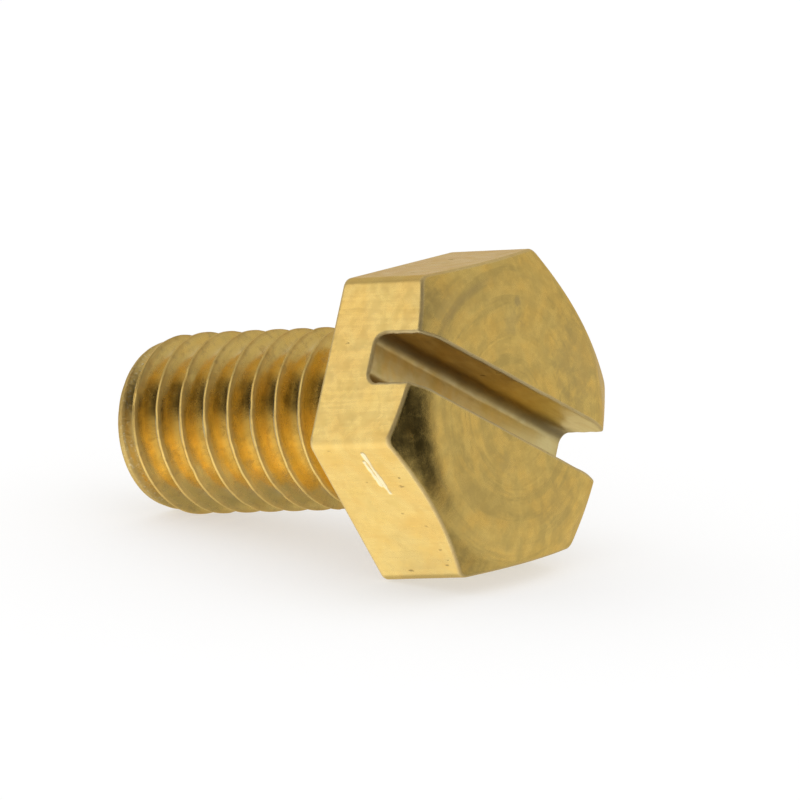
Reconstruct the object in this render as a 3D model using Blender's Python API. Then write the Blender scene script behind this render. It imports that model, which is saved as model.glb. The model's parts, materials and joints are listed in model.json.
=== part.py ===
"""Slotted hexagon-head machine screw, M6 x 10, in brass.

One piece of turned bar: a hexagon head with a chamfered end face and a
screwdriver slot, and a shank threaded right up to the head.

Frame: +X runs along the screw from the tip to the head, +Z is up. The
origin is the centre of the tip's flat end. Two of the six flats face +Z
and -Z, so two corners of the hexagon point along Y. Every solid is drawn
from the centre of the bearing face under the head, where x is 0 and the
shank is on the minus side, and then moved to its place along the axis.
"""
import math

import bmesh
import bpy
from mathutils import Vector

MM = 0.001

# Thread, M6 coarse series, right hand.
MAJOR_DIAMETER = 5.92 * MM
PITCH = 1.0 * MM
THREAD_DEPTH = 0.6134 * PITCH
CREST_FLAT = 0.125 * PITCH
FLANK_ANGLE = math.radians(30.0)
THREAD_PHASE = -8.52 * MM
STEPS_PER_TURN = 60

# Shank, measured from the bearing face towards the tip.
SHANK_LENGTH = 10.53 * MM
TIP_TAPER_START = 9.53 * MM
TIP_RADIUS = 2.66 * MM
TIP_EDGE_RADIUS = 0.12 * MM
RUNOUT_START = 1.9 * MM
RUNOUT_END = 1.0 * MM
NECK_FILLET = 0.3 * MM
# The round starts this far below the shank's surface, so that the two cross clearly.
NECK_SINK = 0.06 * MM

# Head.
ACROSS_FLATS = 9.78 * MM
HEAD_HEIGHT = 3.94 * MM
END_CIRCLE_RADIUS = 4.38 * MM
CHAMFER_ANGLE = math.radians(29.3)

# Screwdriver slot, cut from flat to flat and a little off the centre line.
SLOT_WIDTH = 1.66 * MM
SLOT_DEPTH = 2.08 * MM
SLOT_FLOOR_RADIUS = 0.38 * MM
SLOT_OFFSET = 0.18 * MM
SLOT_DIRECTION = math.radians(151.3)

# Overlaps that let one solid run well into or past the next before they join.
OVERRUN = 1.0 * MM
LATHE_SEGMENTS = 96
FILLET_STEPS = 4

BRASS_COLOUR = (0.72, 0.52, 0.21, 1.0)
BRASS_ROUGHNESS = 0.3
SMOOTH_ANGLE = math.radians(20.0)


def clear_scene():
    """Remove every object the scene starts with."""
    for obj in list(bpy.data.objects):
        bpy.data.objects.remove(obj, do_unlink=True)


def brass_material():
    """Bare machined brass."""
    material = bpy.data.materials.new("brass")
    material.use_nodes = True
    shader = material.node_tree.nodes["Principled BSDF"]
    shader.inputs["Base Color"].default_value = BRASS_COLOUR
    shader.inputs["Metallic"].default_value = 1.0
    shader.inputs["Roughness"].default_value = BRASS_ROUGHNESS
    return material


def mesh_object(name, points, faces):
    """Object from points and faces, with every face turned outwards."""
    mesh = bpy.data.meshes.new(name)
    mesh.from_pydata([tuple(point) for point in points], [], faces)
    work = bmesh.new()
    work.from_mesh(mesh)
    bmesh.ops.recalc_face_normals(work, faces=work.faces)
    work.to_mesh(mesh)
    work.free()
    obj = bpy.data.objects.new(name, mesh)
    obj.location.x = SHANK_LENGTH
    bpy.context.scene.collection.objects.link(obj)
    return obj


def shade_round(obj):
    """Shade a turned solid smooth, keeping its machined corners crisp."""
    obj.data.shade_smooth()
    obj.data.set_sharp_from_angle(angle=SMOOTH_ANGLE)
    return obj


def around_axis(x, radius, angle):
    """Point at a distance from the screw axis; angle 0 is +Y, 90 degrees is +Z."""
    return Vector((x, radius * math.cos(angle), radius * math.sin(angle)))


def turned_solid(name, profile):
    """Closed solid of revolution about X from (x, radius) pairs, ends flat."""
    points = []
    for x, radius in profile:
        for step in range(LATHE_SEGMENTS):
            # Half a step round, so that no corner lands on a corner of the thread.
            angle = 2.0 * math.pi * (step + 0.5) / LATHE_SEGMENTS
            points.append(around_axis(x, radius, angle))
    faces = []
    for ring in range(len(profile) - 1):
        first = ring * LATHE_SEGMENTS
        second = first + LATHE_SEGMENTS
        for step in range(LATHE_SEGMENTS):
            following = (step + 1) % LATHE_SEGMENTS
            faces.append((first + step, first + following, second + following, second + step))
    last = (len(profile) - 1) * LATHE_SEGMENTS
    faces.append(tuple(range(LATHE_SEGMENTS)))
    faces.append(tuple(range(last, last + LATHE_SEGMENTS)))
    return shade_round(mesh_object(name, points, faces))


def prism(name, outline, x_start, x_end):
    """Closed prism along X from a loop of (y, z) pairs."""
    count = len(outline)
    points = [Vector((x_start, y, z)) for y, z in outline]
    points += [Vector((x_end, y, z)) for y, z in outline]
    faces = [tuple(range(count)), tuple(range(count, 2 * count))]
    for corner in range(count):
        following = (corner + 1) % count
        faces.append((corner, following, count + following, count + corner))
    return mesh_object(name, points, faces)


def groove_share(x):
    """Share of the full thread depth at x: 1 on the shank, 0 next to the head."""
    share = (-x - RUNOUT_END) / (RUNOUT_START - RUNOUT_END)
    return min(1.0, max(0.0, share))


def thread_profile():
    """(x shift, depth) of one pitch: crest end, root start, root end, crest start."""
    flank = THREAD_DEPTH * math.tan(FLANK_ANGLE)
    half_crest = CREST_FLAT / 2.0
    return (
        (half_crest, 0.0),
        (half_crest + flank, THREAD_DEPTH),
        (PITCH - half_crest - flank, THREAD_DEPTH),
        (PITCH - half_crest, 0.0),
    )


def threaded_rod(name):
    """Closed rod whose mesh edges follow the thread, longer than the shank."""
    profile = thread_profile()
    across = len(profile)
    turns_before = math.ceil((SHANK_LENGTH + THREAD_PHASE + OVERRUN) / PITCH)
    turns_after = math.ceil((OVERRUN - THREAD_PHASE) / PITCH)
    turns = turns_before + turns_after
    x_first = THREAD_PHASE - turns_before * PITCH
    rows = turns * STEPS_PER_TURN + 1
    points = []
    for row in range(rows):
        turn = row / STEPS_PER_TURN
        for shift, depth in profile:
            x = x_first + turn * PITCH + shift
            radius = MAJOR_DIAMETER / 2.0 - depth * groove_share(x)
            points.append(around_axis(x, radius, 2.0 * math.pi * turn + math.pi))
    # The last turn's crest is closed by one more run of the crest edge.
    for extra in range(1, STEPS_PER_TURN + 1):
        turn = (rows - 1 + extra) / STEPS_PER_TURN
        x = x_first + turn * PITCH + profile[0][0]
        radius = MAJOR_DIAMETER / 2.0
        points.append(around_axis(x, radius, 2.0 * math.pi * turn + math.pi))
    tip_centre = len(points)
    points.append(Vector((x_first - PITCH, 0.0, 0.0)))
    head_centre = len(points)
    points.append(Vector((x_first + (turns + 2) * PITCH, 0.0, 0.0)))

    def index(row, place):
        if row < rows:
            return row * across + place
        return rows * across + row - rows

    faces = []
    for row in range(rows - 1):
        for place in range(across - 1):
            faces.append((index(row, place), index(row + 1, place),
                          index(row + 1, place + 1), index(row, place + 1)))
        # The crest flat joins this turn to the start of the next one.
        faces.append((index(row, across - 1), index(row + 1, across - 1),
                      index(row + 1 + STEPS_PER_TURN, 0), index(row + STEPS_PER_TURN, 0)))
    for row in range(STEPS_PER_TURN):
        faces.append((tip_centre, index(row + 1, 0), index(row, 0)))
        faces.append((head_centre, index(rows - 1 + row, 0), index(rows + row, 0)))
    last = rows - 1
    for place in range(across - 1):
        faces.append((tip_centre, index(0, place), index(0, place + 1)))
        faces.append((head_centre, index(last, place + 1), index(last, place)))
    faces.append((tip_centre, index(0, across - 1), index(STEPS_PER_TURN, 0)))
    faces.append((head_centre, index(last + STEPS_PER_TURN, 0), index(last, across - 1)))
    return shade_round(mesh_object(name, points, faces))


def shank_envelope(name):
    """Turned outline of the shank: plain up to the taper, then a rounded blunt tip."""
    outer = MAJOR_DIAMETER / 2.0 + OVERRUN
    taper_length = SHANK_LENGTH - TIP_TAPER_START
    rise = (MAJOR_DIAMETER / 2.0 - TIP_RADIUS) / taper_length
    start = outer / rise - MAJOR_DIAMETER / 2.0 / rise
    profile = [(-SHANK_LENGTH, TIP_RADIUS - TIP_EDGE_RADIUS)]
    for step in range(1, FILLET_STEPS + 1):
        turn = math.pi / 2.0 * step / FILLET_STEPS
        x = -SHANK_LENGTH + TIP_EDGE_RADIUS * (1.0 - math.cos(turn))
        profile.append((x, TIP_RADIUS - TIP_EDGE_RADIUS * (1.0 - math.sin(turn))))
    profile.append((-TIP_TAPER_START + start, outer))
    profile.append((HEAD_HEIGHT / 4.0, outer))
    return turned_solid(name, profile)


def neck_fillet(name):
    """Small round between the shank and the bearing face."""
    radius = MAJOR_DIAMETER / 2.0 - NECK_SINK
    profile = []
    for step in range(FILLET_STEPS + 1):
        turn = math.pi / 2.0 * step / FILLET_STEPS
        x = -NECK_FILLET * (1.0 - math.sin(turn))
        profile.append((x, radius + NECK_FILLET * (1.0 - math.cos(turn))))
    profile.append((HEAD_HEIGHT / 3.0, radius + NECK_FILLET))
    return turned_solid(name, profile)


def hexagon_outline():
    """Corners of the hexagon, flats facing +Z and -Z."""
    corner_radius = ACROSS_FLATS / math.sqrt(3.0)
    angles = [math.pi / 3.0 * corner for corner in range(6)]
    return [(corner_radius * math.cos(a), corner_radius * math.sin(a)) for a in angles]


def head_envelope(name):
    """Turned outline of the head: flat end face with a conical chamfer around it."""
    outer = ACROSS_FLATS / math.sqrt(3.0) + OVERRUN
    drop = (outer - END_CIRCLE_RADIUS) * math.tan(CHAMFER_ANGLE)
    profile = [
        (-OVERRUN, outer),
        (HEAD_HEIGHT - drop, outer),
        (HEAD_HEIGHT, END_CIRCLE_RADIUS),
    ]
    return turned_solid(name, profile)


def slot_cutter(name):
    """Sawn channel with rounded lower corners, longer than the head is wide."""
    along = Vector((math.cos(SLOT_DIRECTION), math.sin(SLOT_DIRECTION)))
    across = Vector((along.y, -along.x))
    floor = HEAD_HEIGHT - SLOT_DEPTH
    half_flat = SLOT_WIDTH / 2.0 - SLOT_FLOOR_RADIUS
    quarter = []
    for step in range(FILLET_STEPS + 1):
        turn = math.pi / 2.0 * step / FILLET_STEPS
        quarter.append((half_flat + SLOT_FLOOR_RADIUS * math.cos(turn),
                        floor + SLOT_FLOOR_RADIUS * (1.0 - math.sin(turn))))
    half = [(SLOT_WIDTH / 2.0, HEAD_HEIGHT + OVERRUN)] + quarter
    section = half + [(-width, x) for width, x in reversed(half)]
    points = []
    for run in (-ACROSS_FLATS, ACROSS_FLATS):
        for width, x in section:
            spot = along * run + across * (SLOT_OFFSET + width)
            points.append(Vector((x, spot.x, spot.y)))
    count = len(section)
    faces = [tuple(range(count - 1, -1, -1)), tuple(range(count, 2 * count))]
    for place in range(count):
        after = (place + 1) % count
        faces.append((place, after, count + after, count + place))
    return mesh_object(name, points, faces)


def as_cutter(obj):
    """Keep a helper solid out of the finished object."""
    obj.hide_render = True
    obj.display_type = "WIRE"
    return obj


def combine(obj, other, operation):
    """Boolean another solid into an object."""
    modifier = obj.modifiers.new(operation.lower() + "_" + other.name, "BOOLEAN")
    modifier.operation = operation
    modifier.solver = "EXACT"
    modifier.object = as_cutter(other)


def slotted_hex_screw():
    """The whole screw, one solid."""
    head = prism("head_blank", hexagon_outline(), 0.0, HEAD_HEIGHT + OVERRUN)
    combine(head, head_envelope("head_outline"), "INTERSECT")
    screw = threaded_rod("slotted_hex_screw")
    combine(screw, shank_envelope("shank_outline"), "INTERSECT")
    combine(screw, neck_fillet("neck_round"), "UNION")
    combine(screw, head, "UNION")
    combine(screw, slot_cutter("slot_block"), "DIFFERENCE")
    screw.data.materials.append(brass_material())
    return screw


clear_scene()
slotted_hex_screw()
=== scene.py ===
import json
import math
from types import SimpleNamespace

import bpy
import numpy as np
from mathutils import Matrix, Vector


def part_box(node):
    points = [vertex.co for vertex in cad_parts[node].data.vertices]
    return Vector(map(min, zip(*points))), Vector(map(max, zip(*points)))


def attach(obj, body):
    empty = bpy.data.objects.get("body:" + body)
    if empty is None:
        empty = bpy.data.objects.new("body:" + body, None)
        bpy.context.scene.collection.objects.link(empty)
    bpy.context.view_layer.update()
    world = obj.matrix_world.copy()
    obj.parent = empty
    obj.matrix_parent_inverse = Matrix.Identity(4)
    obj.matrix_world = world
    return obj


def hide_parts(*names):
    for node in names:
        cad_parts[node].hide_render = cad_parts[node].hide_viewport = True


# Slotted hexagon-head machine screw in bare brass, lying on a pale studio floor.
# The frame is the CAD part's: +X from the tip to the head, +Z up, origin at the
# centre of the tip's flat end. Lengths in this script are millimetres until a
# mesh or an object is made, and MM turns them into metres.
MM = 0.001

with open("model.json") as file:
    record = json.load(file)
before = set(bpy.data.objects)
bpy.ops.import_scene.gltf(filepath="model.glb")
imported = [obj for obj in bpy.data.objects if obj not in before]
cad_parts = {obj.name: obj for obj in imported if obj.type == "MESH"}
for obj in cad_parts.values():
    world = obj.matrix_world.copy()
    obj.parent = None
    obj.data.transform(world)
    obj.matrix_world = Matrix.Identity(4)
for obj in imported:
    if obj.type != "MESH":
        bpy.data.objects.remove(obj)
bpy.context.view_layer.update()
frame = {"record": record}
CAD_NODE = "slotted_hex_screw"
_, node_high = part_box(CAD_NODE)
mounts = {m["name"]: m["pos_m"] for m in frame["record"]["mounts"]}

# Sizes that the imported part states.
BEARING_X = mounts["bearing_face"][0] / MM
END_X = node_high.x / MM
HALF_FLATS = mounts["spanner_flat_up"][2] / MM
SLOT_FLOOR_X = mounts["slot_floor"][0] / MM
SLOT_CENTRE = Vector(mounts["slot_floor"][1:]) / MM

# The slot's directions in the YZ plane, and how far it lies off the axis.
SLOT_ALONG = Vector((SLOT_CENTRE.y, -SLOT_CENTRE.x)).normalized()
SLOT_ALONG *= math.copysign(1.0, SLOT_ALONG.x)
SLOT_ACROSS = SLOT_CENTRE.normalized()
SLOT_OFFSET = SLOT_CENTRE.length

# Head.
CORNER_ROUND = 0.42
CHAMFER_ANGLE = math.radians(29.3)
END_CIRCLE = 4.38
CIRCLE_ROUND = 0.3
EDGE_ROUND = 0.055
UNDER_ROUND = 0.09
SLOT_HALF_WIDTH = 0.83
SLOT_FLOOR_ROUND = 0.38
SLOT_EDGE_ROUND = 0.07

# Waviness of the sawn walls: strength, bends per mm of slot, bends per mm of depth, start.
SAW_WANDER = 0.014
SAW_WAVES = (
    (1.0, 2.1, 0.0, 0.7),
    (0.7, 5.3, 1.9, 0.0),
    (0.5, 3.1, 11.7, 0.0),
)
SAW_CALM = 0.4
SAW_ENDS = (3.0, 5.2)

# Grid that the head's skin is drawn from. The shift keeps its planes off the flats.
HEAD_GRID = 0.043
HEAD_MARGIN = 3.0 * HEAD_GRID
GRID_SHIFT_X = 0.013
GRID_SHIFT_Z = 0.017
SKIN_PULLS = 4
SKIN_REACH = 0.2
LEAST_SLOPE = 0.05

# Thread.
MAJOR_RADIUS = 2.96
PITCH = 1.0
THREAD_DEPTH = 0.6134 * PITCH
CREST_HALF = 0.05 * PITCH
CREST_ROUND = 0.028 * PITCH
ROOT_ROUND = 0.14 * PITCH
HALF_ANGLE = math.radians(30.0)
FLANK_TURN = math.radians(60.0)
FLANK_SLOPE = math.tan(FLANK_TURN)
THREAD_PHASE = BEARING_X - 8.52
TURN_STEPS = 144
ROUND_STEPS = 3
FLANK_STEPS = 5

# Shank: a blunt tip with a shallow first turn, and the run-out and neck by the head.
TIP_RADIUS = 2.66
TIP_TAPER = 1.0
TIP_EDGE = 0.12
TIP_EDGE_LIMIT = 0.999
TIP_OVERRUN = 1.2
TIP_DEPTH_SHARE = 0.3
TIP_DEPTH_RANGE = (0.1, 0.9)
RUNOUT_START = BEARING_X - 1.9
RUNOUT_END = BEARING_X - 1.0
NECK_FILLET = 0.3
NECK_SINK = 0.06
NECK_TURN = math.radians(62.0)
NECK_RUN = 0.2
CORE_END = BEARING_X + 0.7

# Dents and wander of the crest. Waves give bends per radian of thread and a start.
CREST_REACH = 0.2
CREST_DENT = 0.03
DENT_LEVELS = (0.7, 1.5)
DENT_GROUPS = ((3.1, 0.4), (7.7, 1.9))
DENT_FINE = (0.6, 17.3)
CREST_WANDER = 0.006
WANDER_WAVES = ((1.0, 5.3, 0.8), (0.7, 12.1, 0.0), (0.5, 23.7, 2.0))


# ---------------------------------------------------------------- head solid

def smooth(x, start, stop):
    """0 before start, 1 after stop, easing between."""
    t = np.clip((x - start) / (stop - start), 0.0, 1.0)
    return t * t * (3.0 - 2.0 * t)


def round_max(a, b, radius):
    """Larger of two distances, with the corner between them rounded."""
    corner = np.hypot(np.maximum(a + radius, 0.0), np.maximum(b + radius, 0.0))
    return np.minimum(-radius, np.maximum(a, b)) + corner


def hexagon_distance(y, z, inradius):
    """Signed distance to a hexagon whose flats face +z and -z."""
    side = np.array([-math.sqrt(3.0) / 2.0, 0.5])
    py, pz = np.abs(y), np.abs(z)
    fold = 2.0 * np.minimum(side[0] * py + side[1] * pz, 0.0)
    py = py - fold * side[0]
    pz = pz - fold * side[1]
    half_side = inradius / math.sqrt(3.0)
    py = py - np.clip(py, -half_side, half_side)
    pz = pz - inradius
    return np.hypot(py, pz) * np.sign(pz)


def flats_distance(y, z):
    """Signed distance to the six flats, with rounded corners between them."""
    return hexagon_distance(y, z, HALF_FLATS - CORNER_ROUND) - CORNER_ROUND


def slot_distance(x, across):
    """Signed distance to the slot's walls and floor, negative in the slot."""
    return round_max(np.abs(across) - SLOT_HALF_WIDTH, SLOT_FLOOR_X - x, SLOT_FLOOR_ROUND)


def slot_across(y, z):
    """Distance sideways from the slot's middle."""
    return SLOT_ACROSS.x * y + SLOT_ACROSS.y * z - SLOT_OFFSET


def saw_wander(x, along):
    """Slight waviness of the sawn walls, more of it at the slot's ends."""
    wave = 0.0
    for strength, per_along, per_depth, start in SAW_WAVES:
        wave = wave + strength * np.sin(per_along * along + per_depth * x + start)
    return SAW_WANDER * wave * (SAW_CALM + (1.0 - SAW_CALM) * smooth(np.abs(along), *SAW_ENDS))


def head_distance(x, y, z):
    """Signed distance to the head, negative inside."""
    outside_circle = np.hypot(y, z) - END_CIRCLE
    cone = (x - END_X) * math.cos(CHAMFER_ANGLE) + outside_circle * math.sin(CHAMFER_ANGLE)
    end = round_max(x - END_X, cone, CIRCLE_ROUND)
    body = round_max(end, flats_distance(y, z), EDGE_ROUND)
    body = round_max(body, BEARING_X - x, UNDER_ROUND)
    across = slot_across(y, z) + saw_wander(x, SLOT_ALONG.x * y + SLOT_ALONG.y * z)
    return round_max(body, -slot_distance(x, across), SLOT_EDGE_ROUND)


def surface_net(distance, low, high, step):
    """Closed quad mesh of a distance function's zero surface inside a box."""
    counts = [int(math.ceil((b - a) / step)) + 1 for a, b in zip(low, high)]
    axes = [a + step * np.arange(n) for a, n in zip(low, counts)]
    field = distance(*np.meshgrid(*axes, indexing="ij"))
    inside = field < 0.0
    cells = tuple(n - 1 for n in counts)
    corner_sum = np.zeros(cells + (3,))
    crossings = np.zeros(cells)
    quads = []
    for axis in range(3):
        first = [slice(None)] * 3
        second = [slice(None)] * 3
        first[axis] = slice(None, -1)
        second[axis] = slice(1, None)
        first, second = tuple(first), tuple(second)
        change = inside[first] != inside[second]
        idx = np.argwhere(change)
        near, far = field[first][change], field[second][change]
        point = idx.astype(float)
        point[:, axis] += near / (near - far)
        others = [k for k in range(3) if k != axis]
        cell_ids = []
        for du in (0, 1):
            for dv in (0, 1):
                cell = idx.copy()
                cell[:, others[0]] -= du
                cell[:, others[1]] -= dv
                np.add.at(corner_sum, tuple(cell.T), point)
                np.add.at(crossings, tuple(cell.T), 1.0)
                cell_ids.append(np.ravel_multi_index(tuple(cell.T), cells))
        quad = np.stack([cell_ids[0], cell_ids[1], cell_ids[3], cell_ids[2]], 1)
        flip = inside[first][change]
        if axis == 1:
            flip = ~flip
        quad[flip] = quad[flip][:, ::-1]
        quads.append(quad)
    used = np.flatnonzero(crossings.ravel() > 0.0)
    new_index = np.full(crossings.size, -1)
    new_index[used] = np.arange(len(used))
    points = corner_sum.reshape(-1, 3)[used] / crossings.ravel()[used][:, None]
    points = points * step + np.array(low)
    for _ in range(SKIN_PULLS):
        points = pull_to_surface(distance, points, step * SKIN_REACH)
    return points, new_index[np.concatenate(quads)]


def pull_to_surface(distance, points, reach):
    """Newton step towards the zero surface."""
    value = distance(*points.T)
    slope = np.zeros_like(points)
    for axis in range(3):
        shift = np.zeros(3)
        shift[axis] = reach
        rise = distance(*(points + shift).T) - distance(*(points - shift).T)
        slope[:, axis] = rise / (2.0 * reach)
    size = np.maximum((slope * slope).sum(1), LEAST_SLOPE)
    return points - slope * (value / size)[:, None]


def mesh_from_arrays(name, points, faces):
    """Mesh in metres from points in millimetres."""
    mesh = bpy.data.meshes.new(name)
    mesh.from_pydata((np.asarray(points) * MM).tolist(), [], [list(map(int, f)) for f in faces])
    mesh.update()
    return mesh


def head_mesh():
    """The head, with every edge rounded."""
    reach = HALF_FLATS * 2.0 / math.sqrt(3.0) + HEAD_MARGIN
    low = (BEARING_X - HEAD_MARGIN + GRID_SHIFT_X, -reach, -HALF_FLATS - HEAD_MARGIN + GRID_SHIFT_Z)
    high = (END_X + HEAD_MARGIN, reach, HALF_FLATS + HEAD_MARGIN)
    points, quads = surface_net(head_distance, low, high, HEAD_GRID)
    return mesh_from_arrays("head_solid", points, quads)


# --------------------------------------------------------------- shank solid

def thread_samples():
    """(shift, depth) pairs across one pitch, from one crest's middle to the next."""
    tangent = CREST_HALF - CREST_ROUND * math.tan(HALF_ANGLE)
    half = [(0.0, 0.0), (0.5 * tangent, 0.0)]
    for k in range(ROUND_STEPS + 1):
        turn = FLANK_TURN * k / ROUND_STEPS
        half.append((tangent + CREST_ROUND * math.sin(turn),
                     CREST_ROUND * (1.0 - math.cos(turn))))
    root_centre = FLANK_SLOPE * (PITCH / 2.0 - CREST_HALF) - 2.0 * ROOT_ROUND
    start = half[-1]
    stop = (PITCH / 2.0 - ROOT_ROUND * math.cos(HALF_ANGLE),
            root_centre + ROOT_ROUND * math.sin(HALF_ANGLE))
    for k in range(1, FLANK_STEPS):
        share = k / FLANK_STEPS
        half.append((start[0] + (stop[0] - start[0]) * share,
                     start[1] + (stop[1] - start[1]) * share))
    for k in range(ROUND_STEPS + 1):
        turn = HALF_ANGLE + FLANK_TURN * k / ROUND_STEPS
        half.append((PITCH / 2.0 - ROOT_ROUND * math.cos(turn),
                     root_centre + ROOT_ROUND * math.sin(turn)))
    mirrored = [(PITCH - shift, depth) for shift, depth in reversed(half[1:-1])]
    return half + mirrored


def worn_crest(x, radius, crest, at_crest):
    """Small dents in the crest and a slight wander along it."""
    dents = 1.0
    for rate, start in DENT_GROUPS:
        dents = dents * np.sin(rate * crest + start)
    strength, rate = DENT_FINE
    dents = dents + strength * np.sin(rate * crest)
    wander = 0.0
    for strength, rate, start in WANDER_WAVES:
        wander = wander + strength * np.sin(rate * crest + start)
    radius = radius - CREST_DENT * smooth(dents, *DENT_LEVELS) * at_crest
    return x + CREST_WANDER * wander * at_crest, radius


def blunt_tip(x, radius):
    """A short taper with a rounded edge, then the flat end."""
    taper = TIP_RADIUS + (MAJOR_RADIUS - TIP_RADIUS) * x / TIP_TAPER
    radius = np.minimum(radius, taper)
    edge = np.clip((TIP_EDGE - x) / TIP_EDGE, 0.0, TIP_EDGE_LIMIT)
    radius = radius - TIP_EDGE * (1.0 - np.sqrt(1.0 - edge ** 2))
    return np.where(x < 0.0, TIP_RADIUS - TIP_EDGE + x, radius)


def neck_round(x, radius):
    """Round under the head, ending on a slope that runs on into the head."""
    low = BEARING_X - NECK_FILLET
    climb = np.clip((x - low) / NECK_FILLET, 0.0, math.sin(NECK_TURN))
    fillet = NECK_FILLET * (1.0 - np.sqrt(1.0 - climb ** 2)) - NECK_SINK
    limit = low + NECK_FILLET * math.sin(NECK_TURN)
    straight = np.clip(x - limit, 0.0, NECK_RUN) * math.tan(NECK_TURN)
    radius = np.where(x > low, np.maximum(radius, MAJOR_RADIUS + fillet + straight), radius)
    return np.where(x > CORE_END, radius - (x - CORE_END), radius)


def shank_mesh():
    """Threaded shank as one closed skin whose rows follow the helix."""
    samples = thread_samples()
    shift = np.array([s for s, _ in samples])
    depth = np.array([d for _, d in samples])
    across = len(samples)
    turns_before = int(math.ceil((THREAD_PHASE + TIP_OVERRUN) / PITCH))
    turns = turns_before + int(math.ceil((CORE_END - THREAD_PHASE) / PITCH))
    rows = turns * TURN_STEPS + 1
    x_first = THREAD_PHASE - turns_before * PITCH
    # The last turn's crest is closed by one more run of its middle line.
    turn = np.repeat(np.arange(rows) / TURN_STEPS, across)
    extra_turn = (rows - 1 + np.arange(1, TURN_STEPS + 1)) / TURN_STEPS
    x = np.concatenate([x_first + turn * PITCH + np.tile(shift, rows), x_first + extra_turn * PITCH])
    angle = 2.0 * math.pi * np.concatenate([turn, extra_turn]) + math.pi
    deep = np.concatenate([np.tile(depth, rows), np.zeros(TURN_STEPS)])
    next_turn = np.concatenate([np.tile(shift > PITCH / 2.0, rows), np.zeros(TURN_STEPS, dtype=bool)])

    full_depth = 1.0 - smooth(x, RUNOUT_START, RUNOUT_END)
    tip_depth = TIP_DEPTH_SHARE + (1.0 - TIP_DEPTH_SHARE) * smooth(x, *TIP_DEPTH_RANGE)
    radius = MAJOR_RADIUS - deep * full_depth * tip_depth
    at_crest = (1.0 - smooth(deep, 0.0, CREST_REACH)) * full_depth
    x, radius = worn_crest(x, radius, angle + 2.0 * math.pi * next_turn, at_crest)
    radius = neck_round(x, blunt_tip(x, radius))
    place = np.clip(x, 0.0, CORE_END)
    points = np.stack([place, radius * np.cos(angle), radius * np.sin(angle)], 1)

    def index(r, k):
        return r * across + k if r < rows else rows * across + r - rows

    faces = []
    for r in range(rows - 1):
        for k in range(across - 1):
            faces.append((index(r, k), index(r, k + 1), index(r + 1, k + 1), index(r + 1, k)))
        faces.append((index(r, across - 1), index(r + TURN_STEPS, 0),
                      index(r + 1 + TURN_STEPS, 0), index(r + 1, across - 1)))
    # One flat spiral-edged face closes each end.
    last = rows - 1
    tip_edge = [index(r, 0) for r in range(TURN_STEPS + 1)]
    tip_edge += [index(0, k) for k in range(across - 1, 0, -1)]
    core_edge = [index(last + r, 0) for r in range(TURN_STEPS, -1, -1)]
    core_edge += [index(last, k) for k in range(1, across)]
    faces += [tip_edge, core_edge]
    return mesh_from_arrays("shank_solid", points, faces)


def joined_screw():
    """Head and shank as one closed skin."""
    head = bpy.data.objects.new("head_solid", head_mesh())
    shank = bpy.data.objects.new("shank_solid", shank_mesh())
    for obj in (head, shank):
        bpy.context.scene.collection.objects.link(obj)
    union = head.modifiers.new("join", "BOOLEAN")
    union.operation = "UNION"
    union.solver = "EXACT"
    union.object = shank
    graph = bpy.context.evaluated_depsgraph_get()
    mesh = bpy.data.meshes.new_from_object(head.evaluated_get(graph))
    mesh.name = "brass_screw"
    for obj in (head, shank):
        bpy.data.objects.remove(obj, do_unlink=True)
    screw = bpy.data.objects.new("brass_screw", mesh)
    bpy.context.scene.collection.objects.link(screw)
    mesh.shade_smooth()
    return screw


# ------------------------------------------------------------------- zones

# Ranges over which each zone fades in, in millimetres unless said otherwise.
CURVATURE_PASSES = 1
EDGE_BEND = (1.0, 3.6)
HEAD_OVERLAP = 0.02
SAWN_FADE = (0.02, 0.1)
FLAT_FADE = (-0.12, -0.02)
THREAD_FADE = (0.01, 0.08)
GROOVE_DEPTHS = (0.45, 1.0)
GROOVE_FADE = (0.3, 1.2)
WALL_FADE = (SLOT_FLOOR_X + 0.15, SLOT_FLOOR_X + 0.5)
# The corner zone carries painted shade, weaker in the corner along the other wall.
CORNER_HEIGHT = (SLOT_FLOOR_X + 0.15, SLOT_FLOOR_X + 0.9)
CORNER_WIDTH = (SLOT_HALF_WIDTH - 0.42, SLOT_HALF_WIDTH - 0.08)
FAR_CORNER_SHARE = 0.3
TIP_FADE = (0.3, 1.0)
TIP_RIM = (TIP_RADIUS - 0.5, TIP_RADIUS - 0.1)


def curvature(mesh, points, normals):
    """Mean bending at each vertex in 1/mm, positive on outward edges."""
    count = len(mesh.edges)
    ends = np.empty(count * 2, dtype=np.int32)
    mesh.edges.foreach_get("vertices", ends)
    first, second = ends[0::2], ends[1::2]
    gap = points[second] - points[first]
    turn = ((normals[second] - normals[first]) * gap).sum(1)
    bend = turn / np.maximum((gap * gap).sum(1), 1e-6)
    total = np.zeros(len(points))
    uses = np.zeros(len(points))
    for side in (first, second):
        np.add.at(total, side, bend)
        np.add.at(uses, side, 1.0)
    value = total / np.maximum(uses, 1.0)
    for _ in range(CURVATURE_PASSES):
        total = value.copy()
        uses = np.ones(len(points))
        for side, other in ((first, second), (second, first)):
            np.add.at(total, side, value[other])
            np.add.at(uses, side, 1.0)
        value = total / uses
    return value


def vertex_vectors(items, name):
    """One vector per vertex as an array of rows."""
    values = np.empty(len(items) * 3, dtype=np.float32)
    items.foreach_get(name, values)
    return values.reshape(-1, 3).astype(float)


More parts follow.
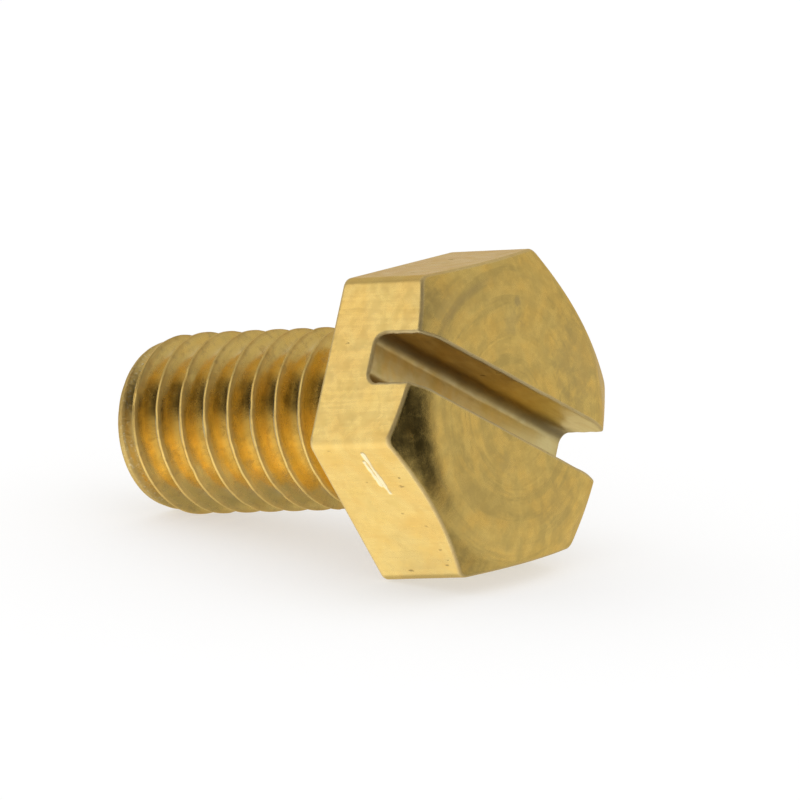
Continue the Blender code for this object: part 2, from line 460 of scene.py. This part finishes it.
def mark_zones(mesh):
    """Where each kind of tooling left its surface, and where edges and corners lie."""
    points = vertex_vectors(mesh.vertices, "co") / MM
    normals = vertex_vectors(mesh.vertex_normals, "vector")
    x, y, z = points.T
    reach = np.hypot(y, z)
    across = slot_across(y, z)
    on_head = (x > BEARING_X - HEAD_OVERLAP).astype(float)
    sawn = on_head * (1.0 - smooth(np.abs(slot_distance(x, across)), *SAWN_FADE))
    thread = (1.0 - on_head) * smooth(x, *THREAD_FADE)
    depth = np.clip((MAJOR_RADIUS - reach) / THREAD_DEPTH, 0.0, 1.0)
    near_wall = smooth(across, *CORNER_WIDTH) + FAR_CORNER_SHARE * smooth(-across, *CORNER_WIDTH)
    zones = {
        "flat": on_head * (1.0 - sawn) * smooth(flats_distance(y, z), *FLAT_FADE),
        "sawn": sawn,
        "thread": thread,
        "edge": smooth(curvature(mesh, points, normals), *EDGE_BEND),
        "groove": thread * smooth(depth, *GROOVE_DEPTHS) * smooth(x, *GROOVE_FADE),
        "tip": (1.0 - smooth(x, *TIP_FADE)) * smooth(reach, *TIP_RIM),
        "corner": sawn * near_wall * (1.0 - smooth(x, *CORNER_HEIGHT)),
        "wall": sawn * smooth(x, *WALL_FADE),
    }
    for name, values in zones.items():
        layer = mesh.attributes.new(name, "FLOAT", "POINT")
        layer.data.foreach_set("value", values.astype(np.float32))


# ------------------------------------------------------------------- shading

class Graph:
    """Short calls for building a node tree."""

    def __init__(self, tree):
        self.tree = tree

    def put(self, item, socket):
        """Link a socket or set a plain value."""
        if isinstance(item, bpy.types.NodeSocket):
            self.tree.links.new(item, socket)
        elif item is not None:
            socket.default_value = item

    def add(self, kind, values=(), **settings):
        """Node with its inputs linked or set in order or by name."""
        node = self.tree.nodes.new(kind)
        for key, value in settings.items():
            setattr(node, key, value)
        pairs = values.items() if isinstance(values, dict) else enumerate(values)
        for key, value in pairs:
            self.put(value, node.inputs[key])
        return node

    def math(self, operation, *values):
        return self.add("ShaderNodeMath", values, operation=operation).outputs[0]

    def product(self, first, *others):
        for other in others:
            first = self.math("MULTIPLY", first, other)
        return first

    def total(self, first, *others):
        for other in others:
            first = self.math("ADD", first, other)
        return first

    def vector(self, operation, *values):
        node = self.add("ShaderNodeVectorMath", values, operation=operation)
        single = operation in ("DOT_PRODUCT", "LENGTH")
        return node.outputs["Value" if single else "Vector"]

    def scaled(self, vector, factor):
        """Vector or colour times one number."""
        values = {0: vector, "Scale": factor}
        return self.add("ShaderNodeVectorMath", values, operation="SCALE").outputs[0]

    def joined(self, *values):
        """Vector from three numbers."""
        return self.add("ShaderNodeCombineXYZ", values).outputs[0]

    def distance(self, place, spot):
        return self.vector("LENGTH", self.vector("SUBTRACT", place, spot))

    def step(self, value, low, high, start=0.0, stop=1.0):
        """Eased passage from start to stop while value runs from low to high."""
        values = (value, low, high, start, stop)
        return self.add("ShaderNodeMapRange", values, interpolation_type="SMOOTHSTEP").outputs[0]

    def blend(self, share, low, high):
        """Low where share is 0, high where it is 1."""
        node = self.add("ShaderNodeMix", {0: share, 2: low, 3: high}, data_type="FLOAT")
        return node.outputs[0]

    def tint(self, share, low, high):
        """Colour blend; a plain colour is red, green and blue."""
        low, high = [(*tone, 1.0) if isinstance(tone, tuple) else tone for tone in (low, high)]
        node = self.add("ShaderNodeMix", {0: share, 6: low, 7: high}, data_type="RGBA")
        return node.outputs[2]

    def paint(self, colour, coats):
        """Colour under coats of (share, tone), the last one on top."""
        for share, tone in coats:
            colour = self.tint(share, colour, tone)
        return colour

    def noise(self, place, scale, detail, rough, warp=0.0):
        values = {"Vector": place, "Scale": scale, "Detail": detail,
                  "Roughness": rough, "Distortion": warp}
        return self.add("ShaderNodeTexNoise", values).outputs[0]


# Noises all over the metal: features per mm, detail, roughness and distortion.
NOISES = {
    "clouds": (0.7, 4.0, 0.6, 0.6),
    "patches": (2.2, 3.0, 0.6, 0.3),
    "grime": (3.4, 4.0, 0.7, 0.5),
    "specks": (9.0, 3.0, 0.65, 0.3),
    "mottle": (1.1, 2.0, 0.5, 0.3),
    "grain": (22.0, 3.0, 0.7, 0.0),
}
# Olive stains use their own stretch of noise.
OLIVE_NOISE = (1.4, 2.0, 0.5, 0.3)
OLIVE_SHIFT = (31.0, 17.0, 5.0)
# Tool marks: features per mm along each coordinate, detail, roughness and distortion.
DRAWN_MARKS = ((0.45, 9.0, 9.0), 4.0, 0.6, 0.0)
RING_MARKS = ((9.0, 0.22, 0.22), 3.0, 0.6, 0.0)
HELIX_MARKS = ((11.0, 0.5, 0.5), 3.0, 0.6, 0.0)
SAW_MARKS = ((0.5, 9.0, 9.0), 4.0, 0.6, 0.0)
ARC_MARKS = ((1.9, 0.3, 0.3), 3.0, 0.6, 0.4)
# Along the slot, a painted reflection lightens the sawn faces towards one end, and painted shade on
# the walls is deepest at the other.
SLOT_REFLECTION_SPAN = (-1.0, 3.4)

# Pits: how far noise pushes them about, how few there are, and their sizes in mm.
PIT_SHAKE_SCALE = 5.0
PIT_SHAKE = (0.35, 0.35, 0.35)
PIT_STRETCH = (1.0, 2.2, 2.2)
PIT_SCALE = 1.3
PIT_CHOICE = (0.64, 0.70)
PIT_SPARE_TURNED = 0.4
PIT_SIZE = 0.11
PIT_LEAST = 0.03
PIT_SLOPE = 0.16

# Two short nicks across one flat, beside the hexagon's corner; their pale colour is a painted glint.
NICKS = (
    ((12.55, -5.42, -0.40), (12.78, -4.62, -1.78)),
    ((12.44, -5.25, -0.70), (12.60, -4.78, -1.50)),
)
NICK_WIDTH = 0.11
NICK_FLOOR = 0.2
NICK_RAGGED = (-0.02, 0.03)

# Where the patch noise is low and high.
PATCH_SPAN = (0.3, 0.7)


def surface_patterns(g):
    """Zones, coordinates and noises that colour, roughness and relief share."""
    place = g.add("ShaderNodeTexCoord").outputs["Object"]
    mm = g.vector("MULTIPLY", place, (1.0 / MM, 1.0 / MM, 1.0 / MM))
    x, y, z = g.add("ShaderNodeSeparateXYZ", (mm,)).outputs
    p = SimpleNamespace(mm=mm)
    for zone in ("flat", "sawn", "thread", "edge", "groove", "tip", "corner", "wall"):
        setattr(p, zone, g.add("ShaderNodeAttribute", attribute_name=zone).outputs["Fac"])
    tooled = g.math("MAXIMUM", p.flat, g.math("MAXIMUM", p.sawn, p.thread))
    p.turned = g.math("SUBTRACT", 1.0, tooled)
    p.radial = g.vector("LENGTH", g.joined(0.0, y, z))
    along = g.vector("DOT_PRODUCT", mm, (0.0, SLOT_ALONG.x, SLOT_ALONG.y))
    across = g.vector("DOT_PRODUCT", mm, (0.0, SLOT_ACROSS.x, SLOT_ACROSS.y))
    p.clean_end = g.step(along, *SLOT_REFLECTION_SPAN)

    for name, settings in NOISES.items():
        setattr(p, name, g.noise(mm, *settings))
    p.olive = g.noise(g.vector("ADD", mm, OLIVE_SHIFT), *OLIVE_NOISE)

    def tool_marks(coordinates, settings):
        stretch, *texture = settings
        return g.noise(g.vector("MULTIPLY", coordinates, stretch), 1.0, *texture)

    rings = g.joined(p.radial, y, z)
    p.arcs = tool_marks(rings, ARC_MARKS)
    p.marks = g.blend(p.flat, tool_marks(rings, RING_MARKS), tool_marks(mm, DRAWN_MARKS))
    p.marks = g.blend(p.thread, p.marks, tool_marks(mm, HELIX_MARKS))
    p.marks = g.blend(p.sawn, p.marks, tool_marks(g.joined(along, across, x), SAW_MARKS))
    p.pits = pit_mask(g, p)
    p.nicks = nick_mask(g, p)
    return p


def pit_mask(g, p):
    """Small pits, sparse and slightly drawn out along the bar; none on turned faces."""
    shake = g.add("ShaderNodeTexNoise", {"Vector": p.mm, "Scale": PIT_SHAKE_SCALE}).outputs["Color"]
    place = g.vector("ADD", g.vector("MULTIPLY", p.mm, PIT_STRETCH),
                     g.vector("MULTIPLY", shake, PIT_SHAKE))
    values = {"Vector": place, "Scale": PIT_SCALE, "Randomness": 1.0}
    cells = g.add("ShaderNodeTexVoronoi", values).outputs
    draw = g.add("ShaderNodeSeparateColor", (cells["Color"],)).outputs
    spare = g.product(p.turned, PIT_SPARE_TURNED)
    chosen = g.step(g.math("SUBTRACT", draw[0], spare), *PIT_CHOICE)
    size = g.math("SUBTRACT", g.product(draw[1], PIT_SIZE), PIT_LEAST)
    pits = g.step(g.math("SUBTRACT", cells["Distance"], size), 0.0, PIT_SLOPE, 1.0, 0.0)
    return g.product(pits, chosen, g.math("SUBTRACT", 1.0, p.thread))


def nick_mask(g, p):
    """Thin ragged scratches between pairs of points."""
    nicks = 0.0
    for start, stop in NICKS:
        run = Vector(stop) - Vector(start)
        offset = g.vector("SUBTRACT", p.mm, start)
        share = g.math("DIVIDE", g.vector("DOT_PRODUCT", offset, tuple(run)), run.length_squared)
        share = g.add("ShaderNodeClamp", (share,)).outputs[0]
        gap = g.distance(offset, g.scaled(tuple(run), share))
        gap = g.total(gap, g.step(p.patches, *PATCH_SPAN, *NICK_RAGGED))
        trace = g.step(gap, NICK_WIDTH * NICK_FLOOR, NICK_WIDTH, 1.0, 0.0)
        nicks = g.math("MAXIMUM", nicks, trace)
    return nicks


# Colours of the metal as linear red, green and blue. Each coat below is a share and
# a colour, or the noise range that it fades in over, a share and a colour.
CLOUD_SPAN = (0.35, 0.65)
PALE_BRASS = (0.88, 0.64, 0.22)
DEEP_BRASS = (0.84, 0.57, 0.18)
TURNED_COAT = (0.5, (0.86, 0.58, 0.13))
THREAD_COAT = (0.75, (0.88, 0.60, 0.16))
SAWN_COAT = (0.85, (0.90, 0.72, 0.35))
STAIN_SHARES = (0.75, 0.3)
OLIVE_COAT = ((0.44, 0.76), (0.72, 0.52, 0.155))
WARM_COAT = ((0.42, 0.74), (0.91, 0.58, 0.14))
ARC_COAT = ((0.50, 0.66), 0.75, (0.66, 0.47, 0.14))
# Painted shade on the slot's walls, strongest away from the painted reflection.
WALL_SHADE_SHARES = (0.9, 0.3)
WALL_SHADE_TONE = (0.52, 0.43, 0.27)
# Painted reflection on the sawn faces towards one end of the slot.
SLOT_REFLECTION_COAT = (0.7, (0.98, 0.82, 0.38))
MARK_SHARES = (0.14, 0.08)
MARK_COAT = ((0.4, 0.7), (0.70, 0.48, 0.16))
# Lighter and darker patches on the turned faces.
SHADE_SPAN = (0.36, 0.66)
SHADE_RANGE = (0.92, 1.09)
# Tarnished spots on the head: centre, radius and strength.
SMUDGES = (
    ((14.45, 0.9, 3.4), 0.20, 0.55),
    ((14.45, 0.55, 2.9), 0.45, 0.28),
    ((14.40, 3.8, 1.0), 1.60, 0.30),
    ((14.45, -0.6, -1.6), 0.40, 0.18),
    ((14.45, 1.6, -3.4), 1.10, 0.18),
    ((12.60, -3.0, -4.6), 1.50, 0.26),
    ((14.20, -2.9, 3.9), 0.80, 0.20),
)
SMUDGE_TONE = (0.48, 0.37, 0.16)
SMUDGE_RAGGED = 0.4
SMUDGE_FADE = (0.3, 1.2)
# Painted shade: a darker line where the chamfer meets the end face, round one corner.
RIM_CENTRE = (14.4, -1.9, 3.9)
RIM_REACH = (0.7, 2.4)
RIM_SHARE = 0.45
RIM_RADIUS = END_CIRCLE - 0.08
RIM_WIDTH = 0.24
RIM_SHADE_TONE = (0.46, 0.34, 0.14)
# Painted shade in the slot's corners between the floor and the walls.
CORNER_SHADE_COAT = (0.8, (0.30, 0.23, 0.12))
GROOVE_COAT = (0.95, (0.95, 0.79, 0.42))
GRIME_SHARES = (0.15, 0.55)
GRIME_COAT = ((0.47, 0.76), (0.50, 0.36, 0.14))
PIT_COAT = (0.6, (0.30, 0.23, 0.11))
# Edges: real wear with a painted sheen that lightens them, on the head and on the thread.
EDGE_WEAR_AND_SHEEN_SHARES = (0.55, 0.35)
HEAD_EDGE_WEAR_AND_SHEEN = (0.95, 0.77, 0.40)
THREAD_EDGE_WEAR_AND_SHEEN = (0.84, 0.65, 0.28)
TIP_COAT = (0.3, (0.60, 0.47, 0.22))
# Painted glints: pale specks on the rough tip.
TIP_GLINT_COAT = ((0.54, 0.68), 0.7, (0.96, 0.84, 0.54))
# Painted glint along the nicks.
NICK_GLINT_COAT = (0.8, (0.99, 0.90, 0.62))


def smudge_coats(g, p):
    """Tarnished spots with ragged edges, none in the slot."""
    coats = []
    for centre, size, dark in SMUDGES:
        ragged = SMUDGE_RAGGED * size
        gap = g.total(g.distance(p.mm, centre), g.step(p.patches, *PATCH_SPAN, -ragged, ragged))
        near, far = SMUDGE_FADE
        spot = g.step(gap, near * size, far * size, dark, 0.0)
        coats.append((g.product(spot, g.math("SUBTRACT", 1.0, p.sawn)), SMUDGE_TONE))
    return coats


def rim_shade_share(g, p):
    """Share of the painted shade line along one stretch of the chamfer's inner edge."""
    off_rim = g.math("ABSOLUTE", g.math("SUBTRACT", p.radial, RIM_RADIUS))
    line = g.step(off_rim, 0.0, RIM_WIDTH, 1.0, 0.0)
    near = g.step(g.distance(p.mm, RIM_CENTRE), *RIM_REACH, RIM_SHARE, 0.0)
    return g.product(line, near, p.turned)


def surface_colour(g, p):
    """Brass with each tool's tone, stains, grime and worn edges laid over it, with painted sheen on
    the edges, painted shade in the slot and along the chamfer's rim, a painted reflection in the
    slot, and painted glints on the nicks and the tip.
    """
    def whole(zone, coat):
        return g.product(zone, coat[0]), coat[1]

    def fading(noise, share, coat):
        return g.product(g.step(noise, *coat[0]), share), coat[1]

    def capped(noise, share, coat):
        return g.product(g.step(noise, *coat[0], 0.0, coat[1]), share), coat[2]

    stain = g.blend(p.flat, *STAIN_SHARES)
    colour = g.tint(g.step(p.clouds, *CLOUD_SPAN), PALE_BRASS, DEEP_BRASS)
    colour = g.paint(colour, [
        whole(p.turned, TURNED_COAT),
        whole(p.thread, THREAD_COAT),
        whole(p.sawn, SAWN_COAT),
        fading(p.olive, stain, OLIVE_COAT),
        fading(p.mottle, stain, WARM_COAT),
        capped(p.arcs, p.turned, ARC_COAT),
        # painted shade on the slot's walls
        (g.product(p.wall, g.blend(p.clean_end, *WALL_SHADE_SHARES)), WALL_SHADE_TONE),
        # painted reflection towards one end of the slot
        whole(g.product(p.sawn, p.clean_end), SLOT_REFLECTION_COAT),
        fading(p.marks, g.blend(p.flat, *MARK_SHARES), MARK_COAT),
    ])
    colour = g.scaled(colour, g.blend(p.turned, 1.0, g.step(p.patches, *SHADE_SPAN, *SHADE_RANGE)))
    # Lighter edges: wear with a painted sheen.
    edge_wear_and_sheen = g.tint(p.thread, HEAD_EDGE_WEAR_AND_SHEEN, THREAD_EDGE_WEAR_AND_SHEEN)
    return g.paint(colour, smudge_coats(g, p) + [
        # painted shade along the chamfer's rim
        (rim_shade_share(g, p), RIM_SHADE_TONE),
        # painted shade in the slot's corners
        whole(p.corner, CORNER_SHADE_COAT),
        whole(p.groove, GROOVE_COAT),
        fading(p.grime, g.blend(p.thread, *GRIME_SHARES), GRIME_COAT),
        whole(p.pits, PIT_COAT),
        # edge wear with a painted sheen
        (g.product(p.edge, g.blend(p.thread, *EDGE_WEAR_AND_SHEEN_SHARES)), edge_wear_and_sheen),
        whole(p.tip, TIP_COAT),
        # painted glints on the tip
        capped(p.specks, p.tip, TIP_GLINT_COAT),
        # painted glint on the nicks
        whole(p.nicks, NICK_GLINT_COAT),
    ])


# Roughness of each kind of surface, and what the marks on it add.
TURNED_ROUGH = 0.22
FLAT_ROUGH = 0.27
THREAD_ROUGH = 0.18
SAWN_ROUGH = 0.34
PATCH_ROUGH = (0.3, 0.75, -0.04, 0.07)
MARK_ROUGH = (0.3, 0.7, -0.02, 0.03)
PIT_ROUGH = 0.2
CORNER_ROUGH = 0.2
EDGE_ROUGH = (0.3, 0.4)
TIP_ROUGH = 0.12
GRIME_ROUGH = (0.4, 0.7, 0.0, 0.09)


def surface_roughness(g, p):
    """Satin metal, duller where it is sawn, worn, pitted or grimy."""
    rough = g.blend(p.flat, TURNED_ROUGH, FLAT_ROUGH)
    rough = g.blend(p.thread, rough, THREAD_ROUGH)
    rough = g.blend(p.sawn, rough, SAWN_ROUGH)
    return g.total(
        rough,
        g.step(p.patches, *PATCH_ROUGH),
        g.step(p.marks, *MARK_ROUGH),
        g.product(p.pits, PIT_ROUGH),
        g.product(p.corner, CORNER_ROUGH),
        g.product(p.edge, g.blend(p.thread, *EDGE_ROUGH)),
        g.product(p.tip, TIP_ROUGH),
        g.product(p.thread, g.step(p.grime, *GRIME_ROUGH)),
    )


# Heights of the fine relief, in millimetres.
MARK_RELIEF = 0.0011
PATCH_RELIEF = (0.0028, 0.0050)
CLOUD_RELIEF = 0.007
GRAIN_RELIEF = (0.0008, 0.0010)
PIT_RELIEF = -0.012
NICK_RELIEF = -0.011
RING_RELIEF = 0.006
RING_RADIUS = 2.42
RING_WIDTH = 0.07
RING_SPAN = (0.4, 0.6)
TIP_GRIME_RELIEF = 0.02
TIP_SPECK_RELIEF = 0.016


def surface_relief(g, p):
    """Fine height of the tool marks, pits and nicks, with one broken ring on the end."""
    off_ring = g.math("ABSOLUTE", g.math("SUBTRACT", p.radial, RING_RADIUS))
    ring = g.product(g.step(off_ring, 0.0, RING_WIDTH, 1.0, 0.0), g.step(p.clouds, *RING_SPAN))
    return g.total(
        g.product(p.marks, MARK_RELIEF),
        g.product(p.patches, g.blend(p.turned, *PATCH_RELIEF)),
        g.product(p.clouds, CLOUD_RELIEF),
        g.product(p.grain, g.blend(p.thread, *GRAIN_RELIEF)),
        g.product(p.pits, PIT_RELIEF),
        g.product(p.nicks, NICK_RELIEF),
        g.product(p.turned, ring, RING_RELIEF),
        g.product(p.tip, p.grime, TIP_GRIME_RELIEF),
        g.product(p.tip, p.specks, TIP_SPECK_RELIEF),
    )


SPECULAR_TINT = (0.97, 0.84, 0.6, 1.0)


def brass_material():
    """Bare machined brass: drawn flats, turned faces, a sawn slot and a cut thread."""
    material = bpy.data.materials.new("brass")
    material.use_nodes = True
    g = Graph(material.node_tree)
    shader = material.node_tree.nodes["Principled BSDF"]
    p = surface_patterns(g)
    relief = surface_relief(g, p)
    bump = g.add("ShaderNodeBump", {"Strength": 1.0, "Distance": MM, "Height": relief})
    g.put(surface_colour(g, p), shader.inputs["Base Color"])
    g.put(surface_roughness(g, p), shader.inputs["Roughness"])
    g.put(bump.outputs[0], shader.inputs["Normal"])
    g.put(1.0, shader.inputs["Metallic"])
    g.put(SPECULAR_TINT, shader.inputs["Specular Tint"])
    return material


screw = joined_screw()
mark_zones(screw.data)
screw.data.materials.clear()
screw.data.materials.append(brass_material())
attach(screw, "root")
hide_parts(CAD_NODE)


# --------------------------------------------------------------------- stage

# The floor slopes in the part's frame, because the screw lies on its head's lower
# edge and its first thread crest.
FLOOR_SLOPE = 0.2063
FLOOR_GAP = 0.01
FLOOR_REACH = 1500.0
FLOOR_GREY = (0.5, 0.5, 0.5, 1.0)
FLOOR_GLOW = 0.52
FLOOR_ROUGH = 0.9
WHITE = (1.0, 1.0, 1.0, 1.0)


def floor():
    """Pale floor that the screw lies on, plain from above and clear from below."""
    base = -HALF_FLATS - FLOOR_GAP
    points = []
    for sx, sy in ((-1, -1), (1, -1), (1, 1), (-1, 1)):
        height = base - FLOOR_SLOPE * sx * FLOOR_REACH
        points.append((BEARING_X + sx * FLOOR_REACH, sy * FLOOR_REACH, height))
    obj = bpy.data.objects.new("floor", mesh_from_arrays("floor", points, [(0, 1, 2, 3)]))
    bpy.context.scene.collection.objects.link(obj)
    material = bpy.data.materials.new("pale_floor")
    material.use_nodes = True
    g = Graph(material.node_tree)
    shader = material.node_tree.nodes["Principled BSDF"]
    g.put(FLOOR_GREY, shader.inputs["Base Color"])
    g.put(WHITE, shader.inputs["Emission Color"])
    g.put(FLOOR_GLOW, shader.inputs["Emission Strength"])
    g.put(0.0, shader.inputs["Specular IOR Level"])
    g.put(FLOOR_ROUGH, shader.inputs["Roughness"])
    # Seen from below, the floor lets the camera through.
    clear = g.add("ShaderNodeBsdfTransparent").outputs[0]
    below = g.add("ShaderNodeNewGeometry").outputs["Backfacing"]
    mix = g.add("ShaderNodeMixShader", (below, shader.outputs[0], clear)).outputs[0]
    g.put(mix, material.node_tree.nodes["Material Output"].inputs["Surface"])
    obj.data.materials.append(material)
    obj.visible_glossy = False


floor()

# Soft cards round the camera: side angle, height angle, half width, half height
# (both as sines) and brightness, against white paper's brightness of 1. Angles are
# seen from the screw, with the camera at 0, 0.
CARDS = (
    (-42.0, 38.0, 1.05, 0.45, 0.04),
    (72.0, -39.0, 0.34, 0.20, 0.38),
    (-90.0, 12.0, 0.30, 0.58, 1.13),
    (-80.0, -62.0, 0.20, 0.14, 2.00),
    (-90.0, -38.0, 0.54, 0.42, 1.23),
    (-178.0, 14.0, 0.30, 0.26, 0.66),
    (112.0, -54.0, 0.32, 0.28, 0.20),
    (62.0, 35.0, 0.24, 0.18, 0.42),
    (30.0, 16.0, 0.36, 0.31, 0.02),
    (57.0, -4.0, 0.41, 0.31, 0.03),
)
CARD_FADE = (0.6, 1.4)
TENT_LEVEL = 0.57
TABLE_LEVEL = 0.66
TABLE_EDGE = 0.1
FLOOR_LIGHT = 1.0
BACKDROP_LEVEL = 1.02


def studio():
    """White paper all round for the floor, and soft cards for the metal to mirror."""
    world = bpy.data.worlds.new("studio")
    bpy.context.scene.world = world
    world.use_nodes = True
    g = Graph(world.node_tree)
    background = world.node_tree.nodes["Background"]
    view = g.vector("NORMALIZE", g.add("ShaderNodeTexCoord").outputs["Camera"])
    # The table's tone fills everything below the floor's horizon.
    sky = g.add("ShaderNodeTexCoord").outputs["Generated"]
    upright = Vector((FLOOR_SLOPE, 0.0, 1.0)).normalized()
    height = g.vector("DOT_PRODUCT", sky, tuple(upright))
    level = g.step(height, -TABLE_EDGE, TABLE_EDGE, TABLE_LEVEL, TENT_LEVEL)
    for side, rise, wide, tall, bright in CARDS:
        a, e = math.radians(side), math.radians(rise)
        towards = Vector((math.sin(a) * math.cos(e), math.sin(e), -math.cos(a) * math.cos(e)))
        right = Vector((math.cos(a), 0.0, math.sin(a)))
        up = right.cross(towards)
        if up.y < 0.0:
            up = -up
        spot = g.joined(g.vector("DOT_PRODUCT", view, tuple(right / wide)),
                        g.vector("DOT_PRODUCT", view, tuple(up / tall)), 0.0)
        share = g.step(g.vector("LENGTH", spot), *CARD_FADE, 1.0, 0.0)
        ahead = g.math("GREATER_THAN", g.vector("DOT_PRODUCT", view, tuple(towards)), 0.0)
        level = g.blend(g.product(share, ahead), level, bright)
    path = g.add("ShaderNodeLightPath").outputs
    level = g.blend(path["Is Diffuse Ray"], level, FLOOR_LIGHT)
    level = g.blend(path["Is Camera Ray"], level, BACKDROP_LEVEL)
    g.put(level, background.inputs["Strength"])
    g.put(WHITE, background.inputs["Color"])


studio()

CAMERA_AZIMUTH = math.radians(39.88)
CAMERA_ELEVATION = math.radians(6.35)
CAMERA_ROLL = math.radians(-7.38)
CAMERA_TARGET = Vector((BEARING_X - 0.453, -0.297, 0.563))
CAMERA_DISTANCE = 431.0
CAMERA_LENS = 603.7
SENSOR_WIDTH = 36.0
CLIP_NEAR = 0.01
CLIP_FAR = 20.0


def camera():
    """Long lens that looks at the slotted end from one side."""
    az, el = CAMERA_AZIMUTH, CAMERA_ELEVATION
    back = Vector((math.sin(az) * math.cos(el), -math.cos(az) * math.cos(el), math.sin(el)))
    level = Vector((math.cos(az), math.sin(az), 0.0))
    above = back.cross(level)
    right = level * math.cos(CAMERA_ROLL) + above * math.sin(CAMERA_ROLL)
    up = back.cross(right)
    data = bpy.data.cameras.new("camera")
    data.lens = CAMERA_LENS
    data.sensor_width = SENSOR_WIDTH
    data.clip_start = CLIP_NEAR
    data.clip_end = CLIP_FAR
    obj = bpy.data.objects.new("camera", data)
    rotation = Matrix((right, up, back)).transposed().to_4x4()
    obj.matrix_world = Matrix.Translation((CAMERA_TARGET + back * CAMERA_DISTANCE) * MM) @ rotation
    bpy.context.scene.collection.objects.link(obj)
    bpy.context.scene.camera = obj


camera()
bpy.context.scene.view_settings.view_transform = "Standard"
